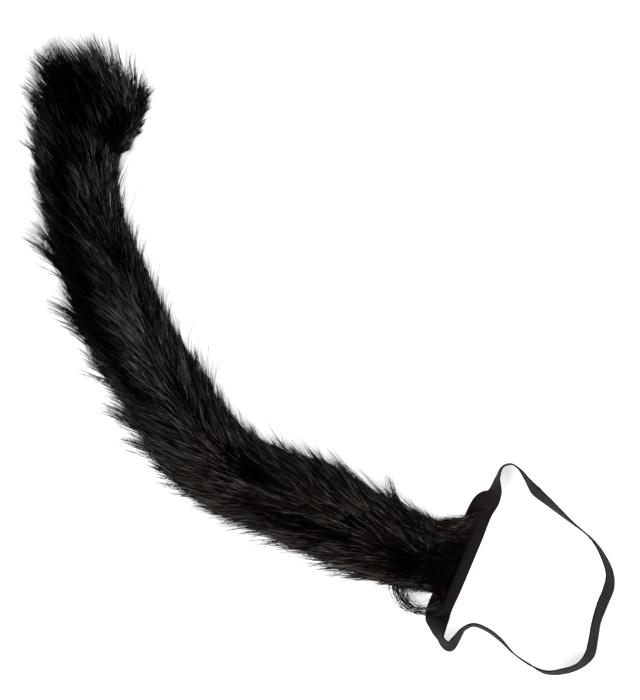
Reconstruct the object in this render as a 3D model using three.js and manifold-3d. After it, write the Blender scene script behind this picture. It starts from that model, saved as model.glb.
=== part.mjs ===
import * as THREE from 'three';
import { mergeVertices } from 'three/addons/utils/BufferGeometryUtils.js';
import Module from 'manifold-3d';

const wasm = await Module();
wasm.setup();

// Costume animal tail lying on a floor: a stuffed sleeve of long-pile fur whose flattened end is
// sewn on a loop of waist elastic that stands on its edge. Millimetres, +Z up, floor at z = 0.
// The origin is the middle of the underside of the sewn stretch of elastic, which lies flat.

// Elastic
const ELASTIC_WIDTH = 25;
const ELASTIC_THICKNESS = 1.5;
const LOOP_REACH = 155;
const LOOP_SPREAD = 190;
const SEWN_HEADING = 67.25;

// Tail
const TAIL_LENGTH = 680;
const TAIL_WIDTH = 90;
const TAIL_HEIGHT = 80;
const NECK_WIDTH = 110;
const NECK_THICKNESS = 4;
const PILE_LENGTH = 62;
const PILE_DEPTH = 13;
const LOCK_WIDTH = 23;
const LOCK_THICKNESS = 10;
const LOCK_SPACING = 33;

// Fits
const SEWING_GAP = 0.3;
const NECK_LAP = 13;
const SEWN_MARGIN = 3;

// Fineness of the faceted surfaces
const ELASTIC_STEP = 4.6;
const SLEEVE_STEP = 17;
const SLEEVE_SIDES = 18;

// Bends of the free stretch of elastic, from the upper end of the sewn stretch round the waist side
// to its lower end. along and out are what each bend stands off the straight line between the two
// ends, as shares of LOOP_SPREAD and LOOP_REACH; lean is how far the elastic leans from upright,
// in degrees: 90 lies flat with its outer face up, and less than 0 shows the inner face.
const LOOP_BENDS = [
  { along: 0.106, out: 0.034, lean: 33 },
  { along: 0.212, out: 0.014, lean: 6 },
  { along: 0.292, out: 0.016, lean: 0 },
  { along: 0.342, out: 0.060, lean: 0 },
  { along: 0.355, out: 0.116, lean: -1 },
  { along: 0.336, out: 0.197, lean: -9 },
  { along: 0.319, out: 0.274, lean: -22 },
  { along: 0.309, out: 0.380, lean: -16 },
  { along: 0.282, out: 0.551, lean: -4 },
  { along: 0.255, out: 0.729, lean: 3 },
  { along: 0.219, out: 0.832, lean: 11 },
  { along: 0.164, out: 0.919, lean: 19 },
  { along: 0.113, out: 0.950, lean: 28 },
  { along: 0.037, out: 0.953, lean: 28 },
  { along: -0.044, out: 0.962, lean: 23 },
  { along: -0.118, out: 0.988, lean: 24 },
  { along: -0.179, out: 1.003, lean: 26 },
  { along: -0.235, out: 0.965, lean: 17 },
  { along: -0.279, out: 0.874, lean: 15 },
  { along: -0.293, out: 0.784, lean: 9 },
  { along: -0.270, out: 0.673, lean: 0 },
  { along: -0.230, out: 0.550, lean: 1 },
  { along: -0.167, out: 0.422, lean: 7 },
  { along: -0.129, out: 0.322, lean: 8 },
  { along: -0.116, out: 0.234, lean: 9 },
  { along: -0.139, out: 0.187, lean: 11 },
  { along: -0.178, out: 0.170, lean: 19 },
  { along: -0.210, out: 0.151, lean: 27 },
  { along: -0.190, out: 0.113, lean: 19 },
  { along: -0.147, out: 0.072, lean: 13 },
  { along: -0.079, out: 0.032, lean: 42 },
];

// Course of the tail. at is the share of TAIL_LENGTH from the sewn end, turn the degrees that the
// tail has turned from square to the elastic.
const TAIL_COURSE = [
  { at: 0.000, turn: 0 },
  { at: 0.040, turn: 17 },
  { at: 0.080, turn: 5 },
  { at: 0.145, turn: -3 },
  { at: 0.310, turn: 2 },
  { at: 0.370, turn: -9 },
  { at: 0.430, turn: -26 },
  { at: 0.495, turn: -37 },
  { at: 0.575, turn: -34 },
  { at: 0.660, turn: -44 },
  { at: 0.740, turn: -45 },
  { at: 0.825, turn: -58 },
  { at: 0.885, turn: -68 },
  { at: 0.925, turn: -96 },
  { at: 1.000, turn: -100 },
];

// Sections of the sleeve with its pile. neck is the share of the flattened end's width and
// thickness in the section, full the share of TAIL_WIDTH and TAIL_HEIGHT in it, pile the share of
// PILE_LENGTH and PILE_DEPTH, and comb the degrees that the nap is turned to the left of the course.
const TAIL_SECTIONS = [
  { at: 0.000, neck: 1.00, full: 0.00, pile: 0.00, comb: 0 },
  { at: 0.018, neck: 0.52, full: 0.31, pile: 0.15, comb: 0 },
  { at: 0.040, neck: 0.12, full: 0.67, pile: 0.40, comb: 0 },
  { at: 0.080, neck: 0.00, full: 0.92, pile: 0.75, comb: 0 },
  { at: 0.125, neck: 0.00, full: 1.00, pile: 1.00, comb: 0 },
  { at: 0.205, neck: 0.00, full: 1.08, pile: 1.10, comb: 0 },
  { at: 0.290, neck: 0.00, full: 0.98, pile: 1.00, comb: 0 },
  { at: 0.410, neck: 0.00, full: 1.03, pile: 1.00, comb: 0 },
  { at: 0.575, neck: 0.00, full: 0.98, pile: 1.00, comb: 0 },
  { at: 0.660, neck: 0.00, full: 0.97, pile: 1.00, comb: 3 },
  { at: 0.760, neck: 0.00, full: 0.92, pile: 1.00, comb: 8 },
  { at: 0.835, neck: 0.00, full: 0.89, pile: 0.90, comb: 14 },
  { at: 0.890, neck: 0.00, full: 1.00, pile: 1.00, comb: 25 },
  { at: 0.940, neck: 0.00, full: 1.00, pile: 1.00, comb: 47 },
  { at: 0.975, neck: 0.00, full: 0.92, pile: 0.80, comb: 50 },
  { at: 1.000, neck: 0.00, full: 0.60, pile: 0.60, comb: 54 },
];

// Rings of one lock of pile. at is the share of its length, girth the share of its width and
// thickness, and lift the share of PILE_DEPTH that it has risen off the sleeve.
const LOCK_RINGS = [
  { at: 0.00, girth: 0.75, lift: -0.45 },
  { at: 0.30, girth: 1.00, lift: 0.15 },
  { at: 0.68, girth: 0.62, lift: 0.55 },
  { at: 1.00, girth: 0.00, lift: 0.90 },
];

// Places of the locks, in degrees round the sleeve from its right side over the top, and the share
// of a row by which a lock lies off its row.
const LOCK_LOWEST_ANGLE = -38;
const LOCK_PITCH = 28.5;
const LOCK_STRAY = 0.35;

// Degrees that the locks part to each side of the top line and differ in heading from each other,
// and the share by which they differ in size.
const PARTING_ANGLE = 24;
const LOCK_TWIST = 9;
const LOCK_VARIATION = 0.22;

// The comb is turned by this share more on the left side and less on the right, and at this many
// degrees of it the pile no longer parts. Where it presses the nap into the sleeve, the locks go
// over the top and are shorter by these shares, and where it lifts the nap they stand off.
const COMB_FAN = 0.3;
const COMB_WITHOUT_PARTING = 60;
const COMB_OVER = 0.2;
const COMBED_IN = 0.75;
const STAND_OFF = 0.8;

// The oval sections dip below the floor by this share of their height, and are trimmed flat there.
// The tip is drawn in over this share of half its width.
const SETTLE = 0.09;
const TIP_REACH = 0.6;

const radians = THREE.MathUtils.degToRad;
const UP = new THREE.Vector3(0, 0, 1);

// Unit vector on the floor at a heading in degrees, anticlockwise from +X.
function headed(degrees) {
  return new THREE.Vector3(Math.cos(radians(degrees)), Math.sin(radians(degrees)), 0);
}

// Value of one column of a table at a share, on straight lines between its rows.
function tabled(rows, column, at) {
  const next = rows.findIndex((row) => row.at >= at);
  if (next <= 0) return rows[next === 0 ? 0 : rows.length - 1][column];
  const [before, after] = [rows[next - 1], rows[next]];
  return THREE.MathUtils.mapLinear(at, before.at, after.at, before[column], after[column]);
}

// Even scatter between -1 and 1 that is the same on every run.
function scatter(index, kind) {
  const golden = 0.6180339887;
  return 2 * ((index * golden + kind * 0.3719) % 1) - 1;
}

// Closed body through rings of points. Rings run anticlockwise as seen from the last ring back. The
// ends close on a point each, or the last ring joins the first where closed is true.
function skin(rings, { closed = false, first = null, last = null } = {}) {
  const sides = rings[0].length;
  const points = rings.flat();
  const faces = [];
  const bands = closed ? rings.length : rings.length - 1;
  for (let band = 0; band < bands; band += 1) {
    const low = band * sides;
    const high = ((band + 1) % rings.length) * sides;
    for (let side = 0; side < sides; side += 1) {
      const next = (side + 1) % sides;
      faces.push(low + side, low + next, high + next, low + side, high + next, high + side);
    }
  }
  if (!closed) {
    const top = (rings.length - 1) * sides;
    points.push(first, last);
    for (let side = 0; side < sides; side += 1) {
      const next = (side + 1) % sides;
      faces.push(points.length - 2, next, side, points.length - 1, top + side, top + next);
    }
  }
  const geometry = new THREE.BufferGeometry().setFromPoints(points);
  geometry.setIndex(faces);
  return geometry;
}

// Solid for joining and cutting, from a closed geometry.
function solidOf(geometry) {
  const bare = geometry.clone();
  bare.deleteAttribute('normal');
  bare.deleteAttribute('uv');
  const merged = mergeVertices(bare, 1e-4);
  return new wasm.Manifold(new wasm.Mesh({
    numProp: 3,
    vertProperties: new Float32Array(merged.attributes.position.array),
    triVerts: new Uint32Array(merged.index.array),
  }));
}

// Geometry of the largest single body of a solid.
function geometryOf(solid) {
  const bodies = solid.decompose().sort((a, b) => b.volume() - a.volume());
  const { vertProperties, triVerts } = bodies[0].getMesh();
  const geometry = new THREE.BufferGeometry();
  geometry.setAttribute('position', new THREE.BufferAttribute(vertProperties, 3));
  geometry.setIndex(new THREE.BufferAttribute(triVerts, 1));
  geometry.computeVertexNormals();
  return geometry;
}

// Stations round the elastic: a smooth closed curve through the sewn stretch and the bends, with
// the lean carried along it.
function elasticStations() {
  const along = headed(SEWN_HEADING);
  const out = headed(SEWN_HEADING - 90);
  const half = NECK_WIDTH / 2 + SEWN_MARGIN;
  const sewn = [-1, -0.45, 0.4, 1].map((share) => (
    { place: along.clone().multiplyScalar(share * half), lean: 90 }));
  const free = LOOP_BENDS.map((bend, index) => {
    const passed = (index + 1) / (LOOP_BENDS.length + 1);
    const place = along.clone().multiplyScalar(half * (1 - 2 * passed) + bend.along * LOOP_SPREAD);
    return { place: place.addScaledVector(out, bend.out * LOOP_REACH), lean: bend.lean };
  });
  const knots = [...sewn, ...free];
  const curve = new THREE.CatmullRomCurve3(knots.map((knot) => knot.place), true, 'centripetal');
  const stations = [];
  knots.forEach((knot, index) => {
    const next = knots[(index + 1) % knots.length];
    const flat = index > 0 && index < sewn.length - 2;
    const steps = flat ? 1 : Math.max(1, Math.round(knot.place.distanceTo(next.place) / ELASTIC_STEP));
    for (let step = 0; step < steps; step += 1) {
      const share = step / steps;
      const t = (index + share) / knots.length;
      const lean = THREE.MathUtils.lerp(knot.lean, next.lean, share);
      stations.push({ place: curve.getPoint(t), tangent: curve.getTangent(t), lean });
    }
  });
  return stations;
}

// The elastic as a closed ribbon of rectangular section, lowest edge on the floor all round. grow
// thickens the section on every side.
function elasticGeometry(grow) {
  const rings = elasticStations().map(({ place, tangent, lean }) => {
    const outer = tangent.clone().cross(UP).negate().setZ(0).normalize();
    const [side, rise] = [Math.sin(radians(lean)), Math.cos(radians(lean))];
    const height = (ELASTIC_WIDTH * rise + ELASTIC_THICKNESS * Math.abs(side)) / 2;
    const centre = place.clone().addScaledVector(UP, height);
    const across = UP.clone().multiplyScalar(rise).addScaledVector(outer, -side);
    const through = outer.clone().multiplyScalar(rise).addScaledVector(UP, side);
    const [width, depth] = [ELASTIC_WIDTH / 2 + grow, ELASTIC_THICKNESS / 2 + grow];
    return [[-1, -1], [-1, 1], [1, 1], [1, -1]].map(([w, d]) => (
      centre.clone().addScaledVector(across, w * width).addScaledVector(through, d * depth)));
  });
  return skin(rings, { closed: true });
}

// Frame of the sleeve at a share of its length, with half the width and the height of its backing.
function sleeveFrames() {
  const count = Math.round(TAIL_LENGTH / SLEEVE_STEP);
  const square = SEWN_HEADING + 90;
  const place = headed(square).multiplyScalar(ELASTIC_WIDTH / 2 - NECK_LAP);
  const frames = [];
  for (let index = 0; index <= count; index += 1) {
    const at = index / count;
    const heading = square + tabled(TAIL_COURSE, 'turn', at);
    if (index > 0) place.addScaledVector(headed(heading), TAIL_LENGTH / count);
    const [neck, full, pile] = ['neck', 'full', 'pile'].map((name) => tabled(TAIL_SECTIONS, name, at));
    frames.push({
      at,
      place: place.clone(),
      heading,
      pile,
      comb: tabled(TAIL_SECTIONS, 'comb', at),
      halfWidth: (neck * NECK_WIDTH + full * TAIL_WIDTH) / 2 - pile * PILE_DEPTH,
      height: neck * (ELASTIC_THICKNESS + SEWING_GAP + NECK_THICKNESS) + full * TAIL_HEIGHT
        - pile * PILE_DEPTH,
    });
  }
  return frames;
}

// Frame between two rings of the sleeve, on straight lines.
function frameAt(frames, at) {
  const spot = THREE.MathUtils.clamp(at, 0, 1) * (frames.length - 1);
  const index = Math.min(Math.floor(spot), frames.length - 2);
  const [before, after] = [frames[index], frames[index + 1]];
  const mixed = { place: before.place.clone().lerp(after.place, spot - index) };
  for (const name of ['heading', 'pile', 'comb', 'halfWidth', 'height']) {
    mixed[name] = THREE.MathUtils.lerp(before[name], after[name], spot - index);
  }
  return mixed;
}

// Point on the backing at an angle from its right side over the top, with its outward normal.
function backingPoint(frame, angle) {
  const right = headed(frame.heading - 90);
  const half = frame.height * (1 + SETTLE) / 2;
  const [across, rise] = [Math.cos(radians(angle)), Math.sin(radians(angle))];
  const point = frame.place.clone().addScaledVector(right, frame.halfWidth * across);
  point.z = frame.height - half + half * rise;
  const normal = right.multiplyScalar(across / frame.halfWidth).addScaledVector(UP, rise / half);
  return { point, normal: normal.normalize() };
}

// The sleeve's backing: ovals along the course, drawn in round the tip.
function backingGeometry(frames) {
  const rings = frames.map((frame) => Array.from({ length: SLEEVE_SIDES }, (_, side) => (
    backingPoint(frame, -360 * side / SLEEVE_SIDES).point)));
  const [start, end] = [frames[0], frames[frames.length - 1]];
  const first = start.place.clone().setZ(start.height / 2);
  const tip = end.place.clone().addScaledVector(headed(end.heading), end.halfWidth * TIP_REACH);
  return skin(rings, { first, last: tip.setZ(end.height / 2) });
}

// One lock of pile, rooted in the backing: a flat three-sided spike that follows the nap, parts to
// its side of the top line and lifts off the sleeve.
function lockGeometry(frames, at, angle, index) {
  const frame = frameAt(frames, at);
  const { point, normal } = backingPoint(frame, angle);
  const away = Math.sign(90 - angle) || 1;
  const parting = PARTING_ANGLE * Math.max(0, 1 - frame.comb / COMB_WITHOUT_PARTING);
  const splay = parting * Math.min(1, Math.abs(90 - angle) / LOCK_PITCH);
  const fanned = 1 + COMB_FAN * (angle - 90) / 90;
  const nap = headed(frame.heading + frame.comb * fanned + LOCK_TWIST * scatter(index, 1));
  const standing = nap.dot(normal);
  const level = nap.addScaledVector(normal, -standing);
  if (standing < 0) {
    const over = UP.clone().addScaledVector(normal, -normal.z).normalize();
    level.addScaledVector(over, -COMB_OVER * standing);
  }
  level.normalize();
  const down = level.clone().cross(normal).multiplyScalar(away);
  const run = level.multiplyScalar(Math.cos(radians(splay)))
    .addScaledVector(down, Math.sin(radians(splay)))
    .addScaledVector(normal, STAND_OFF * Math.max(0, standing))
    .normalize();
  const side = run.clone().cross(normal).normalize();
  const size = frame.pile * (1 + LOCK_VARIATION * scatter(index, 2));
  const reach = PILE_LENGTH * size * (1 + COMBED_IN * Math.min(0, standing));
  const rings = LOCK_RINGS.slice(0, -1).map(({ at: share, girth, lift }) => {
    const middle = point.clone().addScaledVector(run, share * reach)
      .addScaledVector(normal, lift * size * PILE_DEPTH);
    return [[-0.5, -0.25], [0, 0.5], [0.5, -0.25]].map(([w, d]) => (
      middle.clone().addScaledVector(side, w * girth * LOCK_WIDTH)
        .addScaledVector(normal, d * girth * LOCK_THICKNESS)));
  });
  const end = LOCK_RINGS[LOCK_RINGS.length - 1];
  const tip = point.clone().addScaledVector(run, reach)
    .addScaledVector(normal, end.lift * size * PILE_DEPTH);
  const root = point.clone().addScaledVector(normal, LOCK_RINGS[0].lift * size * PILE_DEPTH);
  return skin(rings, { first: root, last: tip });
}

// The fur tail: backing and locks joined, trimmed flat where it rests on the floor, and kept a gap
// off the elastic that it is sewn on.
function tailGeometry() {
  const frames = sleeveFrames();
  let solid = solidOf(backingGeometry(frames));
  const rows = Math.round(TAIL_LENGTH / LOCK_SPACING);
  let index = 0;
  for (let row = 1; row <= rows; row += 1) {
    const first = LOCK_LOWEST_ANGLE + (row % 2) * LOCK_PITCH / 2;
    for (let angle = first; angle <= 180 - LOCK_LOWEST_ANGLE; angle += LOCK_PITCH) {
      index += 1;
      const at = (row + LOCK_STRAY * scatter(index, 3)) / rows;
      solid = solid.add(solidOf(lockGeometry(frames, at, angle, index)));
    }
  }
  const depth = TAIL_HEIGHT;
  const floor = new THREE.BoxGeometry(3 * TAIL_LENGTH, 3 * TAIL_LENGTH, depth);
  floor.translate(0, 0, -depth / 2);
  return geometryOf(solid.subtract(solidOf(floor)).subtract(solidOf(elasticGeometry(SEWING_GAP))));
}

function finish(colour, roughness) {
  return new THREE.MeshStandardMaterial({ color: colour, roughness, metalness: 0 });
}

const elastic = new THREE.Mesh(elasticGeometry(0), finish(0x24201f, 0.85));
elastic.name = 'waist_elastic';
const tail = new THREE.Mesh(tailGeometry(), finish(0x14120f, 0.7));
tail.name = 'fur_tail';

const costumeTail = new THREE.Group();
costumeTail.add(elastic, tail);

export default costumeTail;
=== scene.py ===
"""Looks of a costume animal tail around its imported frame, in metres, in the frame's own axes.

The tail lies on a pale floor: a stuffed sleeve of long black faux fur, sewn by its flattened end on a
closed loop of waist elastic. Tables hold shares of the sizes in the property groups. A share called
at runs along the sleeve, from 0 at its sewn end to 1 at its tip. An angle runs round the sleeve in
degrees, from 0 on its right side over 90 on top to 180 on its left side.
"""

import math

import bpy
import numpy as np
from bpy.props import FloatProperty, FloatVectorProperty, IntProperty, PointerProperty
from bpy.types import Operator, Panel, PropertyGroup
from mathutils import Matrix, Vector


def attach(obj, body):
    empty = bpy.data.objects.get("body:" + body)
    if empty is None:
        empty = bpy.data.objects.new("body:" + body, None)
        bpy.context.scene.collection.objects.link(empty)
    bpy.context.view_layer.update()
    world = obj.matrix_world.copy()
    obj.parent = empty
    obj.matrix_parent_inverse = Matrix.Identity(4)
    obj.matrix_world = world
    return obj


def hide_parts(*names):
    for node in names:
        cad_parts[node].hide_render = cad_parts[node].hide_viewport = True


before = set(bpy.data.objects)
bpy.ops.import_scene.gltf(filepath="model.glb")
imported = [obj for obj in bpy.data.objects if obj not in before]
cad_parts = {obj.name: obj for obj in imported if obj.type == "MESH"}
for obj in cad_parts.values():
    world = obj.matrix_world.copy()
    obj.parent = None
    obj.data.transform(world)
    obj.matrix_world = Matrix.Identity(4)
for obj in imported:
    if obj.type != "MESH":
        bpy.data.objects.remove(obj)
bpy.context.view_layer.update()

bl_info = {
    "name": "Costume Tail",
    "version": (1, 0, 0),
    "blender": (4, 5, 0),
    "location": "View3D > Sidebar > Costume Tail",
    "description": "Builds the fur, the elastic and the stage of a costume animal tail",
    "category": "Object",
}

UP = np.array([0.0, 0.0, 1.0])
# A little off upright, so that an upright hair has a side as well.
NEAR_UP = np.array([0.01, 0.0, 1.0])
MM = 0.001
# Hairs keep this far off the floor and the elastic, and root from this share of the sleeve on.
HAIR_CLEARANCE = 0.4 * MM
FIRST_ROOT = 0.003
BAKE_MAP = "OFBake"
WEAVE_MAP = "weave"


def table(columns, *rows):
    """A table as a dictionary with one array for each named column."""
    return dict(zip(columns, np.array(rows, float).T))


# Bends of the free stretch of elastic: shares of the loop's spread and reach off the straight line
# between the ends of the sewn stretch, and the lean from upright in degrees.
LOOP_BENDS = table(
    ("along", "out", "lean"),
    (0.106, 0.034, 33),
    (0.212, 0.014, 6),
    (0.292, 0.016, 0),
    (0.342, 0.060, 0),
    (0.355, 0.116, -1),
    (0.336, 0.197, -9),
    (0.319, 0.274, -22),
    (0.309, 0.380, -16),
    (0.282, 0.551, -4),
    (0.255, 0.729, 3),
    (0.219, 0.832, 11),
    (0.164, 0.919, 19),
    (0.113, 0.950, 28),
    (0.037, 0.953, 28),
    (-0.044, 0.962, 23),
    (-0.118, 0.988, 24),
    (-0.179, 1.003, 26),
    (-0.235, 0.965, 17),
    (-0.279, 0.874, 15),
    (-0.293, 0.784, 9),
    (-0.270, 0.673, 0),
    (-0.230, 0.550, 1),
    (-0.167, 0.422, 7),
    (-0.129, 0.322, 8),
    (-0.116, 0.234, 9),
    (-0.139, 0.187, 11),
    (-0.178, 0.170, 19),
    (-0.210, 0.151, 27),
    (-0.190, 0.113, 19),
    (-0.147, 0.072, 13),
    (-0.079, 0.032, 42),
)
# Knots of the sewn stretch, as shares of half its length.
SEWN_KNOTS = np.array([-1, -0.45, 0.4, 1])

# Course of the sleeve: degrees that it has turned from square to the sewn stretch of elastic.
COURSE = table(
    ("at", "turn"),
    (0.000, 0),
    (0.040, 17),
    (0.080, 5),
    (0.145, -3),
    (0.310, 2),
    (0.370, -9),
    (0.430, -26),
    (0.495, -37),
    (0.575, -34),
    (0.660, -44),
    (0.740, -45),
    (0.825, -58),
    (0.885, -68),
    (0.925, -96),
    (1.000, -100),
)

# Sections of the sleeve with its pile: shares of the flattened neck, of the full section and of the
# pile in each.
SECTIONS = table(
    ("at", "neck", "full", "pile"),
    (0.000, 1.00, 0.00, 0.00),
    (0.018, 0.52, 0.31, 0.15),
    (0.040, 0.12, 0.67, 0.40),
    (0.080, 0.00, 0.92, 0.75),
    (0.125, 0.00, 1.00, 1.00),
    (0.205, 0.00, 1.08, 1.10),
    (0.290, 0.00, 0.98, 1.00),
    (0.410, 0.00, 1.03, 1.00),
    (0.575, 0.00, 0.98, 1.00),
    (0.660, 0.00, 0.97, 1.00),
    (0.760, 0.00, 0.92, 1.00),
    (0.835, 0.00, 0.89, 0.90),
    (0.890, 0.00, 1.00, 1.00),
    (0.940, 0.00, 1.00, 1.00),
    (0.975, 0.00, 0.92, 0.80),
    (1.000, 0.00, 0.60, 0.60),
)

# Nap of the pile. comb turns it to the left of the course; from the parting, an angle round the
# sleeve, it parts by the degrees in right and left to either side. hold is the share by which hairs
# bend along with the sleeve.
NAP = table(
    ("at", "comb", "parting", "right", "left", "hold"),
    (0.00, 0, 95, 4, 4, 1.0),
    (0.05, 0, 95, 6, 6, 1.0),
    (0.10, 0, 95, 10, 8, 0.6),
    (0.16, 0, 90, 12, 10, 0.3),
    (0.30, 0, 80, 14, 10, 0.3),
    (0.40, 0, 84, 16, 16, 0.3),
    (0.48, 0, 80, 13, 20, 0.3),
    (0.58, 0, 62, 12, 16, 0.3),
    (0.70, 0, 50, 12, 16, 0.3),
    (0.80, 4, 46, 6, 14, 0.2),
    (0.87, 20, 60, 0, 8, 0.1),
    (0.92, 50, 90, 0, 4, 0.1),
    (0.96, 60, 100, 0, 2, 0.0),
    (0.99, 54, 100, 0, 4, 0.0),
    (1.05, 46, 100, 0, 6, 0.0),
)

# Length of the hair on the right side, on top and on the left side, as shares of a full hair.
HAIR_LENGTHS = table(
    ("at", "right", "top", "left"),
    (0.00, 0.35, 0.35, 0.35),
    (0.03, 0.50, 0.50, 0.50),
    (0.08, 0.80, 0.80, 0.80),
    (0.14, 1.00, 1.00, 1.00),
    (0.25, 0.80, 1.00, 0.88),
    (0.40, 0.66, 1.00, 0.84),
    (0.55, 0.46, 1.00, 0.98),
    (0.78, 0.56, 1.00, 0.90),
    (0.84, 0.56, 0.98, 0.62),
    (0.88, 0.52, 0.92, 0.66),
    (0.92, 0.33, 0.96, 0.86),
    (0.96, 0.40, 0.98, 1.06),
    (0.98, 0.50, 1.00, 0.70),
    (1.00, 0.60, 1.06, 0.60),
    (1.02, 0.62, 1.04, 0.88),
    (1.05, 0.62, 1.04, 0.92),
)

# Locks added to the even ones, most of which stand out of the outline. turn is in degrees to the
# left of the nap, length is a share of the hair there, and stand is the share of its length by which
# a hair bends off the surface.
STANDING_LOCKS = table(
    ("at", "angle", "turn", "length", "stand"),
    (0.965, 158, -12, 1.18, 0.00),
    (0.958, 164, -10, 1.10, 0.00),
    (0.950, 160, -9, 1.18, 0.00),
    (0.935, 164, -6, 1.15, 0.00),
    (0.922, 166, 14, 1.10, 0.00),
    (0.870, 168, -4, 0.90, 0.02),
    (0.832, 168, 2, 0.85, 0.14),
    (0.732, 172, 4, 1.18, 0.48),
    (0.718, 172, 2, 1.18, 0.52),
    (0.705, 172, 0, 1.12, 0.40),
    (0.632, 172, 4, 1.18, 0.50),
    (0.618, 172, 2, 1.15, 0.46),
    (0.605, 174, 0, 1.05, 0.34),
    (0.540, 172, 4, 1.04, 0.30),
    (0.528, 174, 2, 1.02, 0.28),
    (0.480, 172, 6, 1.08, 0.38),
    (0.470, 174, 4, 1.04, 0.36),
    (0.432, 172, 0, 1.12, 0.46),
    (0.424, 174, -2, 1.05, 0.40),
    (0.285, 170, 2, 0.95, 0.08),
    (0.130, 172, 22, 0.85, 0.12),
    (0.100, 172, 26, 0.85, 0.12),
    (0.070, 172, 24, 0.80, 0.10),
    (0.335, 16, -26, 0.60, 0.30),
    (0.290, 16, -22, 0.66, 0.24),
    (0.255, 18, -20, 0.70, 0.28),
    (0.225, 18, -18, 0.70, 0.26),
    (0.180, 18, -14, 0.70, 0.20),
    (0.112, 20, -42, 0.70, 0.50),
)

# Painted sheen and painted shade on the pile, paler where light catches it and darker in hollows and on
# the side in shade: how far each reaches along, as a share of the length, and round, in degrees, and what
# it adds to the hairs' shade value there.
PAINTED_SHEEN_AND_SHADE = table(
    ("at", "angle", "along", "round", "tone"),
    (0.68, 148, 0.07, 20, -0.55),
    (0.80, 146, 0.08, 22, -0.55),
    (0.92, 136, 0.07, 26, -0.42),
    (0.94, 60, 0.035, 28, -0.45),
    (0.965, 180, 0.03, 40, -0.28),
    (0.91, 180, 0.025, 30, 0.06),
    (1.045, 170, 0.03, 60, 0.24),
    (0.70, 180, 0.12, 24, -0.20),
    (0.88, 116, 0.04, 13, 0.14),
    (1.02, 70, 0.04, 40, 0.25),
    (0.86, 28, 0.06, 30, 0.18),
    (0.64, 60, 0.09, 40, 0.12),
    (0.60, 104, 0.06, 28, 0.12),
    (0.725, 42, 0.035, 12, -0.20),
    (0.57, 148, 0.05, 18, -0.40),
    (0.345, 66, 0.026, 15, -0.55),
    (0.315, 72, 0.03, 10, -0.28),
    (0.36, 97, 0.03, 12, 0.14),
    (0.27, 130, 0.07, 13, -0.28),
    (0.20, 118, 0.05, 10, -0.24),
    (0.24, 152, 0.07, 14, -0.18),
    (0.22, 70, 0.08, 26, 0.03),
    (0.50, 90, 0.10, 90, 0.04),
    (0.08, 90, 0.08, 80, -0.06),
    (0.09, 125, 0.03, 28, -0.50),
    (0.03, 120, 0.02, 40, -0.45),
    (0.03, 30, 0.02, 30, 0.10),
)

# How hairs lie. They root at a share of the pile's depth, which is never under the least. The comb's
# turn grows by COMB_FAN from the top to the left side. Hairs combed into the surface slide over it
# by COMB_OVER and shorten by COMBED_IN, and hairs combed off it rise by COMB_RISE. Hairs on top
# stand less by TOP_PRESS, and the sides of the parting blend over PARTING_SOFTNESS degrees. Lengths
# go on changing past a side as far as PAST_SIDE times the way from the top to it.
ROOT_LAYER = 0.15
LEAST_PILE = 0.12
COMB_FAN = 0.2
COMB_OVER = 0.6
COMBED_IN = 0.9
COMB_RISE = 0.95
TOP_PRESS = 0.7
PARTING_SOFTNESS = 44.0
PAST_SIDE = 1.3

# Places along a strand on its map: its first ring, its last ring and its point. The three corners
# of a ring lie apart on the other axis by the spread.
FIRST_RING, LAST_RING, POINT = 0.03, 0.9, 0.97
RING_SPREAD = 0.012

# Sections of ribbon stand this far apart, and this many points lie across each flat. The flats are
# thinner than the selvedges by the dip.
RIBBON_STEP = 0.0012
FLAT_POINTS = 9
FLAT_DIP = 0.16
SELVEDGE = 2.4 * MM
# Pitches of the weave's ribs and yarns, and the width and the blend of the darker band along each edge.
RIB_PITCH, YARN_PITCH = 1.3 * MM, 0.9 * MM
DARK_EDGE, EDGE_BLEND = 1.5 * MM, 0.9 * MM


def column(rows, name, at):
    """Value of one column of a table at shares, on straight lines between its rows."""
    return np.interp(at, rows["at"], rows[name])


def headed(degrees):
    """Unit vectors on the floor at headings in degrees, anticlockwise from +X."""
    turn = np.radians(degrees)
    return np.stack([np.cos(turn), np.sin(turn), np.zeros_like(turn)], -1)


def unit(vectors):
    """Each vector divided by its length."""
    return vectors / np.maximum(np.linalg.norm(vectors, axis=-1, keepdims=True), 1e-12)


def inner(a, b):
    """Dot product of each pair of vectors, kept as a column."""
    return np.sum(a * b, -1, keepdims=True)


def smooth(x):
    """Smooth step: 3x squared less 2x cubed, for x held between 0 and 1."""
    x = np.clip(x, 0, 1)
    return x * x * (3 - 2 * x)


def size(name, description, default):
    """Property for a length in metres."""
    return FloatProperty(name=name, description=description, default=default, unit="LENGTH")


def colour(name, description, default):
    """Property for a colour."""
    return FloatVectorProperty(name=name, description=description, default=default, subtype="COLOR")


class TailSizes(PropertyGroup):
    """Sizes of the sleeve and its pile."""

    length: size("Length", "Along the sleeve", 0.680)
    width: size("Width", "Across the pile", 0.090)
    height: size("Height", "Over the pile", 0.080)
    neck_width: size("Neck width", "Width of the flattened end", 0.110)
    neck_thickness: size("Neck thickness", "Of the flattened end", 0.004)
    neck_lap: size("Neck lap", "Of the sleeve over the elastic", 0.013)
    pile_length: size("Pile length", "Of a full hair", 0.062)
    pile_depth: size("Pile depth", "Of the pile off its backing", 0.013)


class ElasticSizes(PropertyGroup):
    """Sizes of the waist elastic."""

    width: size("Width", "Of the elastic", 0.025)
    thickness: size("Thickness", "Of the elastic", 0.0015)
    reach: size("Reach", "Of the loop off the sewn stretch", 0.155)
    spread: size("Spread", "Of the loop along the sewn stretch", 0.190)
    sewn_heading: FloatProperty(
        name="Sewn heading",
        description="Heading of the sewn stretch",
        default=math.radians(67.25),
        subtype="ANGLE",
    )
    sewn_margin: size("Sewn margin", "Flat elastic past the neck", 0.003)
    sewing_gap: size("Sewing gap", "Between neck and elastic", 0.0003)


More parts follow.
